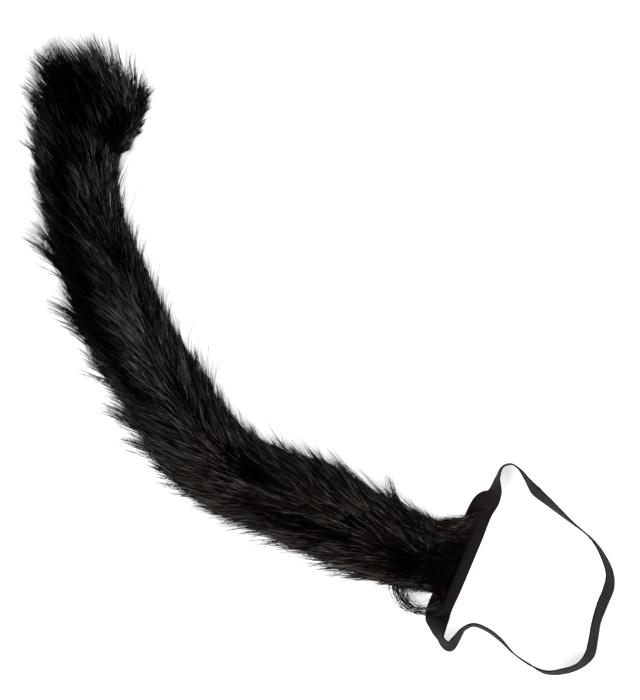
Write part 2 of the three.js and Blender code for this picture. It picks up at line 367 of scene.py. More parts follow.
class TailColours(PropertyGroup):
    """Colours of the tail and its stage."""

    hair_dark: colour("Dark hair", "Darkest hairs", (0.0006, 0.0005, 0.0005))
    hair_light: colour("Light hair", "Palest hairs", (0.400, 0.372, 0.335))
    hair_brown: colour("Brown hair", "Hairs between", (0.0150, 0.0080, 0.0052))
    backing: colour("Under-fur", "Under the hairs", (0.0008, 0.0007, 0.0006))
    elastic: colour("Elastic", "Woven yarn", (0.0100, 0.0072, 0.0065))
    floor: colour("Floor", "Pale floor", (0.93, 0.93, 0.93))


class PileLook(PropertyGroup):
    """How finely the pile is made."""

    lock_spacing: size("Lock spacing", "Between locks of hair", 0.0105)
    tufts: IntProperty(name="Tufts", description="Across each lock, both ways", default=3)
    hairs: IntProperty(name="Hairs", description="In each tuft", default=5)
    hair_width: size("Hair width", "Of one strand", 0.00072)


class Sleeve:
    """The sleeve's middle line and its oval sections, as functions of at and the angle."""

    # Spacing of the stations in metres, the share of its height by which the oval dips under the
    # floor, the length of the rounded end as a share of its half width, and the run over which hair
    # steps down beside the elastic.
    STATION_STEP = 0.017
    SETTLE = 0.09
    CAP_SHARE = 0.6
    STEP_DOWN = 0.6 * MM

    def __init__(self, tail, elastic):
        self.tail = tail
        self.elastic = elastic
        self.square = math.degrees(elastic.sewn_heading) + 90
        count = round(tail.length / self.STATION_STEP)
        at = np.arange(count + 1) / count
        steps = headed(self.square + column(COURSE, "turn", at)) * tail.length / count
        steps[0] = headed(self.square) * (elastic.width / 2 - tail.neck_lap)
        self.stations = np.cumsum(steps, 0)
        last = column(SECTIONS, "full", 1.0) * tail.width / 2
        self.cap = self.CAP_SHARE * (last - column(SECTIONS, "pile", 1.0) * tail.pile_depth) / tail.length

    def heading(self, at):
        """Heading of the course in degrees."""
        return self.square + column(COURSE, "turn", at)

    def place(self, at):
        """Points of the middle line: a Catmull-Rom cubic through the stations, straight past the tip."""
        last = len(self.stations) - 1
        spot = np.clip(at, 0, 1) * last
        index = np.clip(spot.astype(int), 0, last - 1)
        t = (spot - index)[..., None]
        before, start, end, after = (
            self.stations[np.clip(index + step, 0, last)] for step in (-1, 0, 1, 2)
        )
        bend = t * (end - before) + t**2 * (2 * before - 5 * start + 4 * end - after)
        bend += t**3 * (3 * (start - end) + after - before)
        past = np.maximum(at - 1, 0)[..., None] * self.tail.length
        return start + bend / 2 + past * headed(self.heading(at))

    def oval(self, at):
        """Half the width, half the height and the top of the section: the neck and the full section
        mixed, less the depth of the pile."""
        tail = self.tail
        neck, full, pile = (column(SECTIONS, name, at) for name in ("neck", "full", "pile"))
        half_width = (neck * tail.neck_width + full * tail.width) / 2 - pile * tail.pile_depth
        end_height = self.elastic.thickness + self.elastic.sewing_gap + tail.neck_thickness
        height = neck * end_height + full * tail.height - pile * tail.pile_depth
        return half_width, height * (1 + self.SETTLE) / 2, height

    def backing(self, at, angle, lift=0.0):
        """Points at a lift off the backing, and outward normals. The section is an oval of half the
        width by half the height that dips a little under the floor; past the tip it closes as an
        ellipse does."""
        half_width, half_height, height = self.oval(at)
        shut = np.clip((at - 1) / self.cap, 0, 1)
        open_share = np.sqrt(np.maximum(1 - shut**2, 1e-4))
        right = headed(self.heading(at) - 90)
        across, rise = np.cos(np.radians(angle)), np.sin(np.radians(angle))
        point = self.place(at) + right * (half_width * open_share * across)[..., None]
        point[..., 2] = height - half_height + half_height * open_share * rise
        normal = unit(right * (across / half_width)[..., None] + UP * (rise / half_height)[..., None])
        forward = headed(self.heading(at))
        normal = unit(normal * open_share[..., None] + forward * shut[..., None])
        return point + normal * np.broadcast_to(lift, at.shape)[..., None], normal

    def spot(self, points, at):
        """Shares and angles over which points lie, seen from above, near the shares in at."""
        at = at + inner(points - self.place(at), headed(self.heading(at)))[..., 0] / self.tail.length
        off = inner(points - self.place(at), headed(self.heading(at) - 90))[..., 0] / self.oval(at)[0]
        return at, np.degrees(np.arccos(off.clip(-1, 1)))

    def settled(self, points, clearance=0.0):
        """Points lifted to the floor, and to the top of the elastic over its sewn stretch."""
        along = inner(points, headed(self.square - 90))[..., 0]
        out = inner(points, headed(self.square))[..., 0]
        half = self.tail.neck_width / 2 + self.elastic.sewn_margin
        edge = self.elastic.width / 2 + self.elastic.sewing_gap - np.abs(out)
        over = smooth(0.5 + edge / self.STEP_DOWN) * (np.abs(along) < half)
        lowest = over * (self.elastic.thickness + self.elastic.sewing_gap) + clearance
        points[..., 2] = np.maximum(points[..., 2], lowest)
        return points


def hair_paths(sleeve, hairs, shares):
    """Paths of hairs, as (hairs, shares, 3). A hair runs straight along the nap, turned in the
    surface to its side of the parting, or bends with the sleeve by the share in hold. It rises to its
    own layer of the pile as 1 - (1 - t) squared, and bends off the surface and aside with t squared.
    Where the nap is combed off the surface a hair stands out with it, and where it is combed into the
    surface a hair slides over it and is shorter."""
    at, angle = hairs["at"], hairs["angle"]
    root, normal = sleeve.backing(at, angle)
    comb, parting, right, left, hold = (
        column(NAP, name, at) for name in ("comb", "parting", "right", "left", "hold")
    )
    forward = headed(sleeve.heading(at))
    nap = headed(sleeve.heading(at) + comb * (1 + COMB_FAN * (angle - 90) / 90) + hairs["twist"])
    standing = inner(nap, normal)
    out = np.maximum(standing, 0)
    over = unit(UP - normal * normal[..., 2:])
    level = unit(nap - standing * normal + COMB_OVER * over * (out - standing))
    aside = np.cross(normal, level)
    side = smooth(0.5 + (angle - parting) / PARTING_SOFTNESS)
    splay = np.radians(left * side - right * (1 - side))[..., None]
    level_run = (level * np.cos(splay) + aside * np.sin(splay)) * np.sqrt(1 - out**2)
    run = unit(level_run + normal * COMB_RISE * out)
    reach = (hairs["length"] * (1 - COMBED_IN * np.minimum(standing[..., 0], 0) ** 2))[:, None] * shares

    half_width, half_height, _ = sleeve.oval(at)
    turn = np.radians(angle)
    round_speed = np.hypot(half_width * np.sin(turn), half_height * np.cos(turn))
    along_at = at[:, None] + reach * inner(run, forward) / sleeve.tail.length
    run_round = inner(run, np.cross(normal, forward))
    along_angle = angle[:, None] + np.degrees(reach * run_round / round_speed[:, None])
    held, held_normal = sleeve.backing(along_at, along_angle)
    free = root[:, None] + run[:, None] * reach[..., None]
    hold = hold[:, None, None]
    outward = unit(normal[:, None] * (1 - hold) + held_normal * hold)
    depth = sleeve.tail.pile_depth * np.maximum(column(SECTIONS, "pile", along_at), LEAST_PILE)
    layer = ROOT_LAYER + (hairs["layer"] - ROOT_LAYER)[:, None] * (1 - (1 - shares) ** 2)
    stand = hairs["stand"] * (1 - TOP_PRESS * np.maximum(np.sin(turn), 0))
    lift = depth * layer + reach * shares * stand[:, None]
    turned = reach * shares * hairs["curl"][:, None]
    return free * (1 - hold) + held * hold + outward * lift[..., None] + aside[:, None] * turned[..., None]


def full_length(tail, at, angle):
    """Length of a full hair: on straight lines from the top to either side and a little past it."""
    right, top, left = (column(HAIR_LENGTHS, name, at) for name in ("right", "top", "left"))
    aside = np.clip((angle - 90) / 90, -PAST_SIDE, PAST_SIDE)
    to_left, to_right = np.maximum(aside, 0), np.minimum(aside, 0)
    return tail.pile_length * (top + (left - top) * to_left + (top - right) * to_right)


def painted_sheen_and_shade_at(at, angle):
    """Sum of the painted sheen and painted shade, each falling off as a Gaussian along and round the
    sleeve.
    """
    along = (at[:, None] - PAINTED_SHEEN_AND_SHADE["at"]) / PAINTED_SHEEN_AND_SHADE["along"]
    around = (angle[:, None] - PAINTED_SHEEN_AND_SHADE["angle"]) / PAINTED_SHEEN_AND_SHADE["round"]
    return np.sum(PAINTED_SHEEN_AND_SHADE["tone"] * np.exp(-(along**2) - around**2), 1)


def strand_mesh(paths, radii, shades):
    """Vertices, faces and map places of three-sided strands that taper to a point. Each ring is three
    points at a radius round its path, a third of a turn apart. The map's first axis is the share
    along the strand, and its second is the shade."""
    hairs, rings, _ = paths.shape
    tangent = unit(np.gradient(paths, axis=1))
    side = unit(np.cross(tangent, NEAR_UP))
    top = np.cross(side, tangent)
    turns = np.radians([90, 210, 330])
    spokes = side[:, :, None] * np.cos(turns)[:, None] + top[:, :, None] * np.sin(turns)[:, None]
    body = paths[:, :-1, None] + spokes[:, :-1] * radii[:, :, None, None]
    vertices = np.concatenate([body.reshape(hairs, -1, 3), paths[:, -1:]], 1)
    each = vertices.shape[1]
    low = np.arange(rings - 2)[:, None] * 3 + np.arange(3)
    turned = np.arange(rings - 2)[:, None] * 3 + np.roll(np.arange(3), -1)
    quads = np.stack([low, low + 3, turned + 3, turned], -1).reshape(-1, 4)
    last, point = 3 * (rings - 2), each - 1
    tips = np.array([[last, point, last + 1], [last + 1, point, last + 2], [last + 2, point, last]])
    base = np.array([[0, 1, 2]])
    first = np.arange(hairs)[:, None, None] * each
    faces = [(part[None] + first).reshape(-1, part.shape[1]) for part in (quads, tips, base)]
    share = np.append(np.repeat(np.linspace(FIRST_RING, LAST_RING, rings - 1), 3), POINT)
    spread = np.append(np.tile([-RING_SPREAD, 0.0, RING_SPREAD], rings - 1), 0.0)
    places = np.stack(np.broadcast_arrays(share[None], shades[:, None] + spread[None]), -1)
    return vertices.reshape(-1, 3), faces, places.reshape(-1, 2)


def new_piece(name, vertices, faces, maps=()):
    """Mesh object from an array of vertices and arrays of faces with equal corners. maps holds pairs
    of a map's name and a list of arrays of corner places, one for each array of faces."""
    mesh = bpy.data.meshes.new(name)
    corners = np.concatenate([part.ravel() for part in faces]).astype(np.int32)
    sizes = np.concatenate([np.full(len(part), part.shape[1]) for part in faces]).astype(np.int32)
    mesh.vertices.add(len(vertices))
    mesh.vertices.foreach_set("co", vertices.astype(np.float32).ravel())
    mesh.loops.add(len(corners))
    mesh.loops.foreach_set("vertex_index", corners)
    mesh.polygons.add(len(sizes))
    mesh.polygons.foreach_set("loop_start", np.cumsum(sizes, dtype=np.int32) - sizes)
    mesh.polygons.foreach_set("use_smooth", np.ones(len(sizes), bool))
    for map_name, parts in maps:
        layer = mesh.uv_layers.new(name=map_name)
        places = np.concatenate([part.reshape(-1, 2) for part in parts])
        layer.uv.foreach_set("vector", places.astype(np.float32).ravel())
    mesh.update(calc_edges=True)
    mesh.validate()
    piece = bpy.data.objects.new(name, mesh)
    bpy.context.scene.collection.objects.link(piece)
    return piece


def tube_faces(rows, sides, joined):
    """Quads of a grid whose columns close round, and whose rows join end to end if joined. Also the
    grid places of their corners, with the last row and column counted on."""
    bands = rows if joined else rows - 1
    row, side = (part.ravel() for part in np.meshgrid(np.arange(bands), np.arange(sides), indexing="ij"))
    rows_of, sides_of = [row, row, row + 1, row + 1], [side, side + 1, side + 1, side]
    places = np.stack([np.stack(rows_of, -1), np.stack(sides_of, -1)], -1)
    faces = (places[..., 0] % rows) * sides + places[..., 1] % sides
    return faces, places


def dress(piece, finish):
    """Gives a piece its material, and lets it ride on the one body."""
    piece.data.materials.append(finish.material)
    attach(piece, "root")


def new_strands(name, paths, radii, shades, finish):
    """Strands as one piece, which stands for the frame's sleeve as the other fur does."""
    vertices, faces, places = strand_mesh(paths, radii, shades)
    piece = new_piece(name, vertices, faces, [(BAKE_MAP, [places[part] for part in faces])])
    dress(piece, finish)
    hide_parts("fur_tail")


class Wire:
    """A shader socket that Python's operators work on: each adds its Math node."""

    def __init__(self, finish, socket):
        self.finish = finish
        self.socket = socket

    def maths(self, operation, *values):
        return self.finish.node("ShaderNodeMath", {"operation": operation}, dict(enumerate(values)))

    def __add__(self, other):
        return self.maths("ADD", self, other)

    def __sub__(self, other):
        return self.maths("SUBTRACT", self, other)

    def __mul__(self, other):
        return self.maths("MULTIPLY", self, other)

    def __truediv__(self, other):
        return self.maths("DIVIDE", self, other)

    def __pow__(self, other):
        return self.maths("POWER", self, other)

    def __rsub__(self, other):
        return self.maths("SUBTRACT", other, self)

    __radd__ = __add__
    __rmul__ = __mul__

    def sine(self):
        return self.maths("SINE", self)

    def held(self):
        """The value kept between 0 and 1."""
        return self.finish.node("ShaderNodeClamp", {}, {"Value": self})


class Finish:
    """A material on one Principled shader. Values that are the same all over are set on its sockets."""

    def __init__(self, name, **constants):
        self.material = bpy.data.materials.new(name)
        self.material.use_nodes = True
        self.tree = self.material.node_tree
        self.shader = next(n for n in self.tree.nodes if n.type == "BSDF_PRINCIPLED")
        for key, value in constants.items():
            self.shader.inputs[key.replace("_", " ")].default_value = value

    def node(self, kind, settings, inputs, output=0):
        """Any node: its settings are set first, then the values or links of its sockets."""
        made = self.tree.nodes.new(kind)
        for key, value in settings.items():
            setattr(made, key, value)
        for key, value in inputs.items():
            self.feed(made.inputs[key], value)
        return Wire(self, made.outputs[output])

    def feed(self, socket, value):
        """Links a wire to a socket, or sets the socket's own value."""
        if isinstance(value, Wire):
            self.tree.links.new(value.socket, socket)
        else:
            socket.default_value = value

    def drive(self, name, value):
        """Links or sets one of the shader's own sockets."""
        self.feed(self.shader.inputs[name], value)

    def mixed(self, factor, first, second):
        """Colour between two colours, by a Mix node."""
        colours = [(*c, 1) if isinstance(c, tuple) else c for c in (first, second)]
        inputs = {"Factor": factor, 6: colours[0], 7: colours[1]}
        return self.node("ShaderNodeMix", {"data_type": "RGBA"}, inputs, 2)

    def place(self, map_name):
        """The two axes of one of the piece's maps."""
        uv = self.node("ShaderNodeUVMap", {"uv_map": map_name}, {})
        return [self.node("ShaderNodeSeparateXYZ", {}, {0: uv}, output) for output in (0, 1)]

    def bump(self, height, distance, strength):
        """Feeds the shader's normal from a height, which counts in shares of the distance."""
        inputs = {"Height": height, "Distance": distance, "Strength": strength}
        self.drive("Normal", self.node("ShaderNodeBump", {}, inputs))


def hair_finish(colours, warmth):
    """Hair: shade sets how pale a strand is, from black over brown to grey. Painted glints, highlights
    that run along it as a sine whose phase comes from the shade, make its paleness come and go.
    warmth turns the grey hairs brownish."""
    red, green, blue = colours.hair_light
    light = (red, green * (1.05 - 0.04 * warmth), blue * (1.14 - 0.10 * warmth))
    finish = Finish("long_black_pile", Roughness=0.45, Specular_IOR_Level=0.005)
    along, shade = finish.place(BAKE_MAP)
    # Painted highlights: short glints along each strand.
    painted_glint = (along * 13 + shade * 57).sine() * 0.45 + 0.55
    brown = ((shade - 0.22) * 1.8).held() * warmth
    pale = (((shade - 0.56) * 2.3).held() ** 1.3 * painted_glint * (0.55 + along * 0.60)).held()
    base = finish.mixed(brown, tuple(colours.hair_dark), tuple(colours.hair_brown))
    finish.drive("Base Color", finish.mixed(pale, base, light))
    return finish


def under_fur_finish(colours):
    """Short dense pile of the backing: streaks run along the sleeve. The bare neck is paler cloth with a
    painted sheen, strongest on its right side.
    """
    finish = Finish("dense_under_fur", Roughness=0.9, Specular_IOR_Level=0.005)
    along, around = finish.place(BAKE_MAP)
    streak_place = finish.node("ShaderNodeCombineXYZ", {}, {0: along * 60, 1: around * 130, 2: 0.0})
    streaks = finish.node("ShaderNodeTexNoise", {}, {"Vector": streak_place, "Scale": 1.0, "Detail": 4.0})
    patches_place = finish.node("ShaderNodeCombineXYZ", {}, {0: along * 28, 1: around * 7, 2: 3.0})
    patches = finish.node("ShaderNodeTexNoise", {}, {"Vector": patches_place, "Scale": 1.0})
    # Paler cloth of the bare neck with a painted sheen: strongest on the right side by the sewn end,
    # fading round the sleeve and along it.
    neck_cloth_and_sheen = (1 - along * 22).held() * (around * (2 * math.pi)).sine().held()
    tone = (streaks * 0.4 + patches * 0.3 - 0.36).held() * 0.15 + neck_cloth_and_sheen * patches * 0.3
    pale = tuple(share * c for share, c in zip((0.36, 0.31, 0.28), colours.hair_light))
    finish.drive("Base Color", finish.mixed(tone, tuple(colours.backing), pale))
    finish.bump(streaks, 1.2 * MM, 0.7)
    return finish


def elastic_finish(colours, width):
    """Woven elastic: fine ribs across, yarns along, and darker along both selvedges."""
    finish = Finish("woven_waist_elastic", Roughness=0.8, Specular_IOR_Level=0.14)
    along, across = finish.place(WEAVE_MAP)
    ribs = (along * (2 * math.pi / RIB_PITCH)).sine()
    yarns = (across * (2 * math.pi / YARN_PITCH)).sine()
    coordinates = finish.node("ShaderNodeTexCoord", {}, {}, 3)
    fuzz = finish.node("ShaderNodeTexNoise", {}, {"Vector": coordinates, "Scale": 900.0, "Detail": 3.0})
    broad = finish.node("ShaderNodeTexNoise", {}, {"Vector": coordinates, "Scale": 38.0})
    tone = 0.5 + ribs * 0.12 + yarns * 0.06 + (fuzz - 0.5) * 0.5 + (broad - 0.5) * 0.35
    off_middle = finish.node("ShaderNodeMath", {"operation": "ABSOLUTE"}, {0: across})
    selvedge = ((off_middle - (width / 2 - DARK_EDGE)) / EDGE_BLEND).held()
    tone = (tone - selvedge * 0.4).held()
    dark = tuple(0.4 * c for c in colours.elastic)
    light = tuple(1.6 * c for c in colours.elastic)
    finish.drive("Base Color", finish.mixed(tone, dark, light))
    finish.bump(ribs * 0.6 + yarns * 0.25 + fuzz * 0.4, 0.25 * MM, 0.8)
    return finish


class TAIL_OT_under_fur(Operator):
    """Sleeve with its dense under-fur: the oval section lifted off the backing by part of the pile and
    by a sum of sines that gives soft lumps, settled on the floor and the elastic, and shut by a fan
    of triangles at each end"""

    bl_idname = "costume_tail.under_fur"
    bl_label = "Under-fur"

    # Grid of the sleeve, and the share of its rounded end that the last row reaches.
    ROWS, SIDES = 300, 60
    CAP_REACH = 0.995
    # Shares of the pile's depth by which the surface lifts, evenly and in lumps.
    LIFT, LUMP = 0.22, 0.06

    def execute(self, context):
        tail = context.scene.tail_sizes
        sleeve = Sleeve(tail, context.scene.elastic_sizes)
        at = np.linspace(0, 1 + self.CAP_REACH * sleeve.cap, self.ROWS)
        angle = 90 - np.arange(self.SIDES) * 360 / self.SIDES
        at_grid, angle_grid = np.meshgrid(at, angle, indexing="ij")
        lumps = np.sin(at_grid * 61 + np.radians(angle_grid) * 3) + np.sin(at_grid * 113 - angle_grid / 17)
        lift = tail.pile_depth * column(SECTIONS, "pile", at_grid) * (self.LIFT + self.LUMP * lumps)
        grid = sleeve.settled(sleeve.backing(at_grid, angle_grid, lift)[0])
        faces, places = tube_faces(self.ROWS, self.SIDES, False)
        ends = np.stack([grid[0].mean(0), grid[-1].mean(0)])
        vertices = np.concatenate([grid.reshape(-1, 3), ends])
        side = np.arange(self.SIDES)
        turned = np.roll(side, -1)
        last = (self.ROWS - 1) * self.SIDES
        start = np.stack([turned, side, np.full_like(side, len(vertices) - 2)], -1)
        end = np.stack([last + side, last + turned, np.full_like(side, len(vertices) - 1)], -1)
        corners = places / [self.ROWS - 1, self.SIDES]
        # On the map, a triangle of an end fan has two corners on the sleeve's edge.
        shut = [np.zeros((self.SIDES, 3, 2)) + [[x, 0.5]] for x in (0.0, 1.0)]
        for part, edge in zip(shut, (0.0, 1.0)):
            part[:, :2, 0] = edge
            part[:, 0, 1], part[:, 1, 1] = side / self.SIDES, (side + 1) / self.SIDES
        maps = [(BAKE_MAP, [corners, *shut])]
        piece = new_piece("sleeve_under_fur", vertices, [faces, start, end], maps)
        dress(piece, under_fur_finish(context.scene.tail_colours))
        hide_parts("fur_tail")
        return {"FINISHED"}


class TAIL_OT_pile(Operator):
    """Pile in locks: hairs are sown in tufts and tufts in locks on a staggered grid, and the listed locks
    are added. A hair's path closes on its tuft's towards its point, and a tuft's on its lock's. A share of
    the tufts spikes out of the pile"""

    bl_idname = "costume_tail.pile"
    bl_label = "Pile"

    # Name, end and warmth of each stretch of pile.
    STRETCHES = (
        ("pile_by_the_neck", 0.20, 1.0),
        ("pile_lower_bend", 0.40, 0.9),
        ("pile_middle", 0.60, 0.5),
        ("pile_upper", 0.80, 0.2),
        ("pile_tip", 9.0, 0.1),
    )
    # Shares of a hair at which its rings and its point lie, and the girth of each ring.
    SHARES = np.array([0.0, 0.3, 0.65, 1.0])
    GIRTHS = np.array([0.8, 1.0, 0.6])
    # Angles between which hairs root, and the share of the rounded end that they are sown on.
    LOWEST, HIGHEST = -52.0, 232.0
    CAP_SOWN = 0.97
    # Mean radius of the sleeve as a share of its width, and the share of the way that the grid covers.
    MEAN_RADIUS = 0.4
    GRID_REACH = 0.99
    # How far locks, tufts and hairs are sown off their places, in shares of a cell of the grid.
    LOCK_SPREAD, TUFT_SPREAD, HAIR_SPREAD = 0.3, 0.25, 0.3
    # Chance of an even lock to stand and of a tuft to spike, and how far a spike turns aside.
    STAND_CHANCE, SPIKE_CHANCE = 0.12, 0.15
    SPIKE_TURN = 45
    # How firmly tufts close on a listed lock, and the powers of the share along a hair by which tufts
    # close on locks and hairs on tufts.
    FIRM_PULL = 0.75
    LOCK_POWER, TUFT_POWER = 1.3, 0.8

    def execute(self, context):
        scene = context.scene
        sleeve = Sleeve(scene.tail_sizes, scene.elastic_sizes)
        rng = np.random.default_rng(41)
        paths, shades, at = self.grown(sleeve, scene.tail_sizes, scene.pile_look, rng)
        radii = scene.pile_look.hair_width / 2 * rng.uniform(0.45, 1.15, (len(paths), 1)) * self.GIRTHS
        start = 0.0
        for name, end, warmth in self.STRETCHES:
            chosen = (at >= start) & (at < end)
            finish = hair_finish(scene.tail_colours, warmth)
            new_strands(name, paths[chosen], radii[chosen], shades[chosen], finish)
            start = end
        return {"FINISHED"}

    def grown(self, sleeve, tail, look, rng):
        """Paths, shades and root shares of all hairs."""
        top = 1 + self.CAP_SOWN * sleeve.cap
        rows = round(top * tail.length / look.lock_spacing)
        arc = math.radians(self.HIGHEST - self.LOWEST)
        around = round(arc * self.MEAN_RADIUS * tail.width / look.lock_spacing)
        grid = np.meshgrid(np.arange(rows), np.arange(around), indexing="ij")
        row, place = (part.ravel() for part in grid)
        cell = np.array([top * self.GRID_REACH / rows, (self.HIGHEST - self.LOWEST) / around])
        # Every second row is set half a place aside.
        middle = np.stack([row + 0.4, place + 0.25 + 0.5 * (row % 2)], -1)
        extra = len(STANDING_LOCKS["at"])
        spots = np.stack([STANDING_LOCKS["at"], STANDING_LOCKS["angle"] - self.LOWEST], -1) / cell
        middle = np.concatenate([middle, spots])
        locks = len(middle)
        step = (np.arange(look.tufts) + 0.5) / look.tufts - 0.5
        inside = np.stack(np.meshgrid(step, step, indexing="ij"), -1).reshape(1, -1, 2)
        tuft_spots = (middle[:, None] + inside).reshape(-1, 2)
        tuft_spots += rng.uniform(-self.TUFT_SPREAD, self.TUFT_SPREAD, tuft_spots.shape)
        tufts = len(tuft_spots)
        of_lock = np.repeat(np.arange(locks), look.tufts**2)
        of_tuft = np.repeat(np.arange(tufts), look.hairs)
        hairs = len(of_tuft)
        hair_spots = tuft_spots[of_tuft] + rng.uniform(-self.HAIR_SPREAD, self.HAIR_SPREAD, (hairs, 2))

        def sown(spots, **traits):
            """Hairs at places of the grid, each as long as its share of a full hair there."""
            at = np.clip(spots[:, 0] * cell[0], FIRST_ROOT, top)
            angle = self.LOWEST + spots[:, 1] * cell[1]
            length = traits["share"] * full_length(tail, at, angle)
            return {"at": at, "angle": angle, "length": length, **traits}

        even = locks - extra
        stands = np.abs(rng.normal(0, 0.03, even))
        stands += (rng.random(even) < self.STAND_CHANCE) * rng.uniform(0.05, 0.22, even)
        lock = sown(
            middle + rng.uniform(-self.LOCK_SPREAD, self.LOCK_SPREAD, middle.shape),
            share=np.append(rng.uniform(0.80, 1.12, even), STANDING_LOCKS["length"]),
            layer=rng.uniform(ROOT_LAYER, 0.62, locks),
            twist=np.append(rng.normal(0, 4.0, even), STANDING_LOCKS["turn"]),
            stand=np.append(stands, STANDING_LOCKS["stand"]),
            curl=rng.normal(0, 0.05, locks),
        )
        spiky = (rng.random(tufts) < self.SPIKE_CHANCE) * rng.uniform(0.08, 0.34, tufts)
        outward = np.sign(self.LOWEST + tuft_spots[:, 1] * cell[1] - 90)
        tuft = sown(
            tuft_spots,
            share=lock["share"][of_lock] * rng.uniform(0.80, 1.08, tufts),
            layer=lock["layer"][of_lock] * rng.uniform(0.8, 1.2, tufts),
            twist=lock["twist"][of_lock] + rng.normal(0, 4.5, tufts) + outward * spiky * self.SPIKE_TURN,
            stand=lock["stand"][of_lock] + rng.normal(0, 0.05, tufts) + spiky,
            curl=lock["curl"][of_lock] + rng.normal(0, 0.05, tufts),
        )
        hair = sown(
            hair_spots,
            share=tuft["share"][of_tuft] * rng.uniform(0.62, 1.10, hairs),
            layer=tuft["layer"][of_tuft] * rng.uniform(0.8, 1.2, hairs),
            twist=tuft["twist"][of_tuft] + rng.normal(0, 5.0, hairs),
            stand=tuft["stand"][of_tuft] + rng.normal(0, 0.06, hairs),
            curl=tuft["curl"][of_tuft] + rng.normal(0, 0.07, hairs),
        )
        lock_paths = hair_paths(sleeve, lock, self.SHARES)
        tuft_paths = hair_paths(sleeve, tuft, self.SHARES)
        pull = np.append(rng.uniform(0.0, 0.45, even), np.full(extra, self.FIRM_PULL))
        pull = pull[of_lock][:, None, None] * self.SHARES[:, None] ** self.LOCK_POWER
        tuft_paths += (lock_paths[of_lock] - tuft_paths) * pull
        paths = hair_paths(sleeve, hair, self.SHARES)
        pull = rng.uniform(0.25, 0.95, (hairs, 1, 1)) * self.SHARES[:, None] ** self.TUFT_POWER
        paths += (tuft_paths[of_tuft] - paths) * pull
        shade = 0.08 * rng.uniform(0, 1, locks)[of_lock[of_tuft]]
        shade += 0.22 * rng.uniform(0, 1, tufts)[of_tuft]
        shade += 0.70 * rng.uniform(0, 1, hairs)
        # Painted sheen and painted shade: paler where light catches the pile, darker in its hollows and on
        # its side in shade.
        shade += painted_sheen_and_shade_at(*sleeve.spot(paths[:, 2], hair["at"]))
        return sleeve.settled(paths, HAIR_CLEARANCE), shade.clip(0.03, 0.97), hair["at"]


def bent_path(start, heading, turn, length, rise, shares):
    """Paths on an arc: the heading turns evenly by turn from start to end, and the height rises as a
    half sine over the length. Steps between the shares are summed."""
    middle = (shares[1:] + shares[:-1]) / 2
    run = (length[:, None] * np.diff(shares))[..., None]
    step = headed(heading[:, None] + turn[:, None] * middle) * run
    path = np.concatenate([start[:, None], start[:, None] + np.cumsum(step, 1)], 1)
    path[..., 2] += rise[:, None] * np.sin(math.pi * shares)
    return path


class TAIL_OT_stray_hairs(Operator):
    """Single hairs that stray from the pile: on paths made as the pile's are, with wider turns and
    curls and a sine wave aside that grows to the point, and more of them round the neck"""

    bl_idname = "costume_tail.stray_hairs"
    bl_label = "Stray hairs"

    SHARES = np.linspace(0, 1, 7)
    GIRTHS = np.linspace(1, 0.7, len(SHARES) - 1)
    # Hairs all over the sleeve, and frizzy ones round its neck.
    EVEN, FRIZZ = 1700, 800
    WARMTH = 0.7

    def execute(self, context):
        scene = context.scene
        tail, look = scene.tail_sizes, scene.pile_look
        sleeve = Sleeve(tail, scene.elastic_sizes)
        rng = np.random.default_rng(7)
        count = self.EVEN + self.FRIZZ
        frizz = np.arange(count) >= self.EVEN
        at = np.where(frizz, np.abs(rng.normal(0.0, 0.05, count)), rng.uniform(0.02, 1.0, count))
        angle = rng.uniform(-30, 210, count)
        hairs = {
            "at": at.clip(FIRST_ROOT, 1.0),
            "angle": angle,
            "length": full_length(tail, at, angle) * rng.uniform(0.6, 1.2, count) * (1 - 0.4 * frizz),
            "layer": rng.uniform(0.6, 1.15, count),
            "twist": rng.normal(0, 11, count) + frizz * rng.normal(0, 30, count),
            "stand": np.abs(rng.normal(0.04, 0.10, count)).clip(0, 0.25),
            "curl": rng.normal(0, 0.18, count) + frizz * rng.normal(0, 0.35, count),
        }
        paths = hair_paths(sleeve, hairs, self.SHARES)
        normal = sleeve.backing(hairs["at"], angle)[1]
        aside = unit(np.cross(normal, paths[:, -1] - paths[:, 0]))
        wave = np.sin(self.SHARES * rng.uniform(4, 9, (count, 1)) + rng.uniform(0, 6, (count, 1)))
        sway = wave * self.SHARES * (0.8 + 2.2 * frizz[:, None]) * MM
        paths += aside[:, None] * sway[..., None]
        radii = look.hair_width / 2 * rng.uniform(0.28, 0.55, (count, 1)) * self.GIRTHS
        shades = rng.uniform(0.30, 0.92, count) - 0.08 * frizz
        # Painted sheen and painted shade of the pile, at a little over half strength.
        shades += 0.6 * painted_sheen_and_shade_at(*sleeve.spot(paths[:, 4], hairs["at"]))
        paths = sleeve.settled(paths, HAIR_CLEARANCE)
        finish = hair_finish(scene.tail_colours, self.WARMTH)
        new_strands("stray_hairs", paths, radii, shades.clip(0.1, 0.95), finish)
        return {"FINISHED"}


